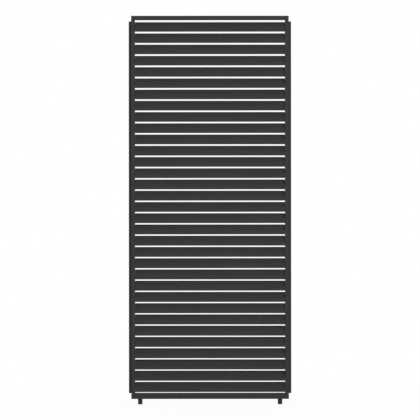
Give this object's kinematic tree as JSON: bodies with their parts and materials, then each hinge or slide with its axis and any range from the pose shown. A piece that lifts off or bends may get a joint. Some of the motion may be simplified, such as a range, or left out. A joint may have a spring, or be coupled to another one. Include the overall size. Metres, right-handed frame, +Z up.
{
  "type": "louvred pergola panel",
  "caption": "Tall louvred side panel for a pergola: slim frame, tilting flat blades linked by a hidden tilt bar, recessed side fixing profiles and screw-in feet.",
  "frame": {"origin": "on the floor, midway between the two feet, at the middle of the panel's depth", "axes": "+Z up, +X to the right as seen from the front, the front faces -Y"},
  "size_m": [0.92, 0.045, 2.2],
  "materials": {
    "frame_coat": "matte",
    "blade_coat": "matte",
    "end_plastic": "matte",
    "bush_nylon": "satin",
    "foot_plastic": "matte",
    "screw_steel": "satin",
    "zinc_steel": "satin",
    "bar_aluminium": "satin"
  },
  "bodies": {
    "frame": {"left_stile": "frame_coat", "right_stile": "frame_coat", "top_rail": "frame_coat", "bottom_rail": "frame_coat", "left_side_profile": "frame_coat", "right_side_profile": "frame_coat", "left_top_cap": "end_plastic", "right_top_cap": "end_plastic", "left_bottom_cap": "end_plastic", "right_bottom_cap": "end_plastic", "left_bushes": "bush_nylon", "right_bushes": "bush_nylon", "corner_screws": "screw_steel", "side_profile_screws": "screw_steel", "left_foot_insert": "zinc_steel", "right_foot_insert": "zinc_steel"},
    "louvre_01": {"louvre_01": "blade_coat"},
    "louvre_02": {"louvre_02": "blade_coat"},
    "louvre_03": {"louvre_03": "blade_coat"},
    "louvre_04": {"louvre_04": "blade_coat"},
    "louvre_05": {"louvre_05": "blade_coat"},
    "louvre_06": {"louvre_06": "blade_coat"},
    "louvre_07": {"louvre_07": "blade_coat"},
    "louvre_08": {"louvre_08": "blade_coat"},
    "louvre_09": {"louvre_09": "blade_coat"},
    "louvre_10": {"louvre_10": "blade_coat"},
    "louvre_11": {"louvre_11": "blade_coat"},
    "louvre_12": {"louvre_12": "blade_coat"},
    "louvre_13": {"louvre_13": "blade_coat"},
    "louvre_14": {"louvre_14": "blade_coat"},
    "louvre_15": {"louvre_15": "blade_coat"},
    "louvre_16": {"louvre_16": "blade_coat"},
    "louvre_17": {"louvre_17": "blade_coat"},
    "louvre_18": {"louvre_18": "blade_coat"},
    "louvre_19": {"louvre_19": "blade_coat"},
    "louvre_20": {"louvre_20": "blade_coat"},
    "louvre_21": {"louvre_21": "blade_coat"},
    "louvre_22": {"louvre_22": "blade_coat"},
    "louvre_23": {"louvre_23": "blade_coat"},
    "louvre_24": {"louvre_24": "blade_coat"},
    "louvre_25": {"louvre_25": "blade_coat"},
    "louvre_26": {"louvre_26": "blade_coat"},
    "louvre_27": {"louvre_27": "blade_coat"},
    "louvre_28": {"louvre_28": "blade_coat"},
    "louvre_29": {"louvre_29": "blade_coat"},
    "louvre_30": {"louvre_30": "blade_coat"},
    "louvre_31": {"louvre_31": "blade_coat"},
    "louvre_32": {"louvre_32": "blade_coat"},
    "louvre_33": {"louvre_33": "blade_coat"},
    "tilt_bar": {"tilt_bar": "bar_aluminium"},
    "left_foot": {"left_foot": "foot_plastic", "left_foot_stem": "zinc_steel"},
    "right_foot": {"right_foot": "foot_plastic", "right_foot_stem": "zinc_steel"}
  },
  "joints": [
    {"name": "louvre_01_tilt", "type": "hinge", "parent": "frame", "child": "louvre_01", "pos_m": [0, 0, 2.138], "axis": [1, 0, 0], "range_deg": [-56, 27]},
    {"name": "louvre_02_tilt", "type": "hinge", "parent": "frame", "child": "louvre_02", "pos_m": [0, 0, 2.07425], "axis": [1, 0, 0], "range_deg": [-56, 27]},
    {"name": "louvre_03_tilt", "type": "hinge", "parent": "frame", "child": "louvre_03", "pos_m": [0, 0, 2.0105], "axis": [1, 0, 0], "range_deg": [-56, 27]},
    {"name": "louvre_04_tilt", "type": "hinge", "parent": "frame", "child": "louvre_04", "pos_m": [0, 0, 1.94675], "axis": [1, 0, 0], "range_deg": [-56, 27]},
    {"name": "louvre_05_tilt", "type": "hinge", "parent": "frame", "child": "louvre_05", "pos_m": [0, 0, 1.883], "axis": [1, 0, 0], "range_deg": [-56, 27]},
    {"name": "louvre_06_tilt", "type": "hinge", "parent": "frame", "child": "louvre_06", "pos_m": [0, 0, 1.81925], "axis": [1, 0, 0], "range_deg": [-56, 27]},
    {"name": "louvre_07_tilt", "type": "hinge", "parent": "frame", "child": "louvre_07", "pos_m": [0, 0, 1.7555], "axis": [1, 0, 0], "range_deg": [-56, 27]},
    {"name": "louvre_08_tilt", "type": "hinge", "parent": "frame", "child": "louvre_08", "pos_m": [0, 0, 1.69175], "axis": [1, 0, 0], "range_deg": [-56, 27]},
    {"name": "louvre_09_tilt", "type": "hinge", "parent": "frame", "child": "louvre_09", "pos_m": [0, 0, 1.628], "axis": [1, 0, 0], "range_deg": [-56, 27]},
    {"name": "louvre_10_tilt", "type": "hinge", "parent": "frame", "child": "louvre_10", "pos_m": [0, 0, 1.56425], "axis": [1, 0, 0], "range_deg": [-56, 27]},
    {"name": "louvre_11_tilt", "type": "hinge", "parent": "frame", "child": "louvre_11", "pos_m": [0, 0, 1.5005], "axis": [1, 0, 0], "range_deg": [-56, 27]},
    {"name": "louvre_12_tilt", "type": "hinge", "parent": "frame", "child": "louvre_12", "pos_m": [0, 0, 1.43675], "axis": [1, 0, 0], "range_deg": [-56, 27]},
    {"name": "louvre_13_tilt", "type": "hinge", "parent": "frame", "child": "louvre_13", "pos_m": [0, 0, 1.373], "axis": [1, 0, 0], "range_deg": [-56, 27]},
    {"name": "louvre_14_tilt", "type": "hinge", "parent": "frame", "child": "louvre_14", "pos_m": [0, 0, 1.30925], "axis": [1, 0, 0], "range_deg": [-56, 27]},
    {"name": "louvre_15_tilt", "type": "hinge", "parent": "frame", "child": "louvre_15", "pos_m": [0, 0, 1.2455], "axis": [1, 0, 0], "range_deg": [-56, 27]},
    {"name": "louvre_16_tilt", "type": "hinge", "parent": "frame", "child": "louvre_16", "pos_m": [0, 0, 1.18175], "axis": [1, 0, 0], "range_deg": [-56, 27]},
    {"name": "louvre_17_tilt", "type": "hinge", "parent": "frame", "child": "louvre_17", "pos_m": [0, 0, 1.118], "axis": [1, 0, 0], "range_deg": [-56, 27]},
    {"name": "louvre_18_tilt", "type": "hinge", "parent": "frame", "child": "louvre_18", "pos_m": [0, 0, 1.05425], "axis": [1, 0, 0], "range_deg": [-56, 27]},
    {"name": "louvre_19_tilt", "type": "hinge", "parent": "frame", "child": "louvre_19", "pos_m": [0, 0, 0.9905], "axis": [1, 0, 0], "range_deg": [-56, 27]},
    {"name": "louvre_20_tilt", "type": "hinge", "parent": "frame", "child": "louvre_20", "pos_m": [0, 0, 0.92675], "axis": [1, 0, 0], "range_deg": [-56, 27]},
    {"name": "louvre_21_tilt", "type": "hinge", "parent": "frame", "child": "louvre_21", "pos_m": [0, 0, 0.863], "axis": [1, 0, 0], "range_deg": [-56, 27]},
    {"name": "louvre_22_tilt", "type": "hinge", "parent": "frame", "child": "louvre_22", "pos_m": [0, 0, 0.79925], "axis": [1, 0, 0], "range_deg": [-56, 27]},
    {"name": "louvre_23_tilt", "type": "hinge", "parent": "frame", "child": "louvre_23", "pos_m": [0, 0, 0.7355], "axis": [1, 0, 0], "range_deg": [-56, 27]},
    {"name": "louvre_24_tilt", "type": "hinge", "parent": "frame", "child": "louvre_24", "pos_m": [0, 0, 0.67175], "axis": [1, 0, 0], "range_deg": [-56, 27]},
    {"name": "louvre_25_tilt", "type": "hinge", "parent": "frame", "child": "louvre_25", "pos_m": [0, 0, 0.608], "axis": [1, 0, 0], "range_deg": [-56, 27]},
    {"name": "louvre_26_tilt", "type": "hinge", "parent": "frame", "child": "louvre_26", "pos_m": [0, 0, 0.54425], "axis": [1, 0, 0], "range_deg": [-56, 27]},
    {"name": "louvre_27_tilt", "type": "hinge", "parent": "frame", "child": "louvre_27", "pos_m": [0, 0, 0.4805], "axis": [1, 0, 0], "range_deg": [-56, 27]},
    {"name": "louvre_28_tilt", "type": "hinge", "parent": "frame", "child": "louvre_28", "pos_m": [0, 0, 0.41675], "axis": [1, 0, 0], "range_deg": [-56, 27]},
    {"name": "louvre_29_tilt", "type": "hinge", "parent": "frame", "child": "louvre_29", "pos_m": [0, 0, 0.353], "axis": [1, 0, 0], "range_deg": [-56, 27]},
    {"name": "louvre_30_tilt", "type": "hinge", "parent": "frame", "child": "louvre_30", "pos_m": [0, 0, 0.28925], "axis": [1, 0, 0], "range_deg": [-56, 27]},
    {"name": "louvre_31_tilt", "type": "hinge", "parent": "frame", "child": "louvre_31", "pos_m": [0, 0, 0.2255], "axis": [1, 0, 0], "range_deg": [-56, 27]},
    {"name": "louvre_32_tilt", "type": "hinge", "parent": "frame", "child": "louvre_32", "pos_m": [0, 0, 0.16175], "axis": [1, 0, 0], "range_deg": [-56, 27]},
    {"name": "louvre_33_tilt", "type": "hinge", "parent": "frame", "child": "louvre_33", "pos_m": [0, 0, 0.098], "axis": [1, 0, 0], "range_deg": [-56, 27]},
    {"name": "tilt_bar_pivot", "type": "hinge", "parent": "louvre_17", "child": "tilt_bar", "pos_m": [0.433, 0.01065, 1.12075], "axis": [1, 0, 0], "range_deg": [-27, 56]},
    {"name": "left_foot_height", "type": "slide", "parent": "frame", "child": "left_foot", "axis": [0, 0, -1], "range_m": [0, 0.015]},
    {"name": "right_foot_height", "type": "slide", "parent": "frame", "child": "right_foot", "axis": [0, 0, -1], "range_m": [0, 0.015]}
  ],
  "couplings": [
    {"joint": "louvre_01_tilt", "follows": "louvre_17_tilt", "ratio": 1},
    {"joint": "louvre_02_tilt", "follows": "louvre_17_tilt", "ratio": 1},
    {"joint": "louvre_03_tilt", "follows": "louvre_17_tilt", "ratio": 1},
    {"joint": "louvre_04_tilt", "follows": "louvre_17_tilt", "ratio": 1},
    {"joint": "louvre_05_tilt", "follows": "louvre_17_tilt", "ratio": 1},
    {"joint": "louvre_06_tilt", "follows": "louvre_17_tilt", "ratio": 1},
    {"joint": "louvre_07_tilt", "follows": "louvre_17_tilt", "ratio": 1},
    {"joint": "louvre_08_tilt", "follows": "louvre_17_tilt", "ratio": 1},
    {"joint": "louvre_09_tilt", "follows": "louvre_17_tilt", "ratio": 1},
    {"joint": "louvre_10_tilt", "follows": "louvre_17_tilt", "ratio": 1},
    {"joint": "louvre_11_tilt", "follows": "louvre_17_tilt", "ratio": 1},
    {"joint": "louvre_12_tilt", "follows": "louvre_17_tilt", "ratio": 1},
    {"joint": "louvre_13_tilt", "follows": "louvre_17_tilt", "ratio": 1},
    {"joint": "louvre_14_tilt", "follows": "louvre_17_tilt", "ratio": 1},
    {"joint": "louvre_15_tilt", "follows": "louvre_17_tilt", "ratio": 1},
    {"joint": "louvre_16_tilt", "follows": "louvre_17_tilt", "ratio": 1},
    {"joint": "louvre_18_tilt", "follows": "louvre_17_tilt", "ratio": 1},
    {"joint": "louvre_19_tilt", "follows": "louvre_17_tilt", "ratio": 1},
    {"joint": "louvre_20_tilt", "follows": "louvre_17_tilt", "ratio": 1},
    {"joint": "louvre_21_tilt", "follows": "louvre_17_tilt", "ratio": 1},
    {"joint": "louvre_22_tilt", "follows": "louvre_17_tilt", "ratio": 1},
    {"joint": "louvre_23_tilt", "follows": "louvre_17_tilt", "ratio": 1},
    {"joint": "louvre_24_tilt", "follows": "louvre_17_tilt", "ratio": 1},
    {"joint": "louvre_25_tilt", "follows": "louvre_17_tilt", "ratio": 1},
    {"joint": "louvre_26_tilt", "follows": "louvre_17_tilt", "ratio": 1},
    {"joint": "louvre_27_tilt", "follows": "louvre_17_tilt", "ratio": 1},
    {"joint": "louvre_28_tilt", "follows": "louvre_17_tilt", "ratio": 1},
    {"joint": "louvre_29_tilt", "follows": "louvre_17_tilt", "ratio": 1},
    {"joint": "louvre_30_tilt", "follows": "louvre_17_tilt", "ratio": 1},
    {"joint": "louvre_31_tilt", "follows": "louvre_17_tilt", "ratio": 1},
    {"joint": "louvre_32_tilt", "follows": "louvre_17_tilt", "ratio": 1},
    {"joint": "louvre_33_tilt", "follows": "louvre_17_tilt", "ratio": 1},
    {"joint": "tilt_bar_pivot", "follows": "louvre_17_tilt", "ratio": -1}
  ]
}
